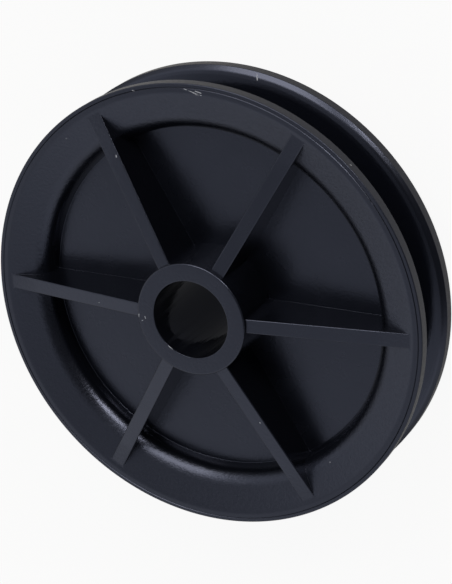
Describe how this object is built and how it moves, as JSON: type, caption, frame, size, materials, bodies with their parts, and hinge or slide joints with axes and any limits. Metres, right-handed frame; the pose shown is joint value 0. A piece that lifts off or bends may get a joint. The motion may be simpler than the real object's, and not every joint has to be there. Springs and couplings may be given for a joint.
{
  "type": "belt idler pulley",
  "caption": "Moulded black plastic belt idler pulley with a V groove, a ribbed web on each face and a plain bore through a long hub.",
  "frame": {"origin": "middle of the bore, on the pulley's middle plane", "axes": "+Z along the bore, +X along one of the ribs; it stands on the hub's lower end"},
  "size_m": [0.115, 0.115, 0.032],
  "materials": {
    "black_plastic": "fine moulding texture on the flanges, glossier on the web, walls and hub, worn by the belt in the groove"
  },
  "bodies": {
    "root": {"pulley": "black_plastic"}
  },
  "joints": []
}
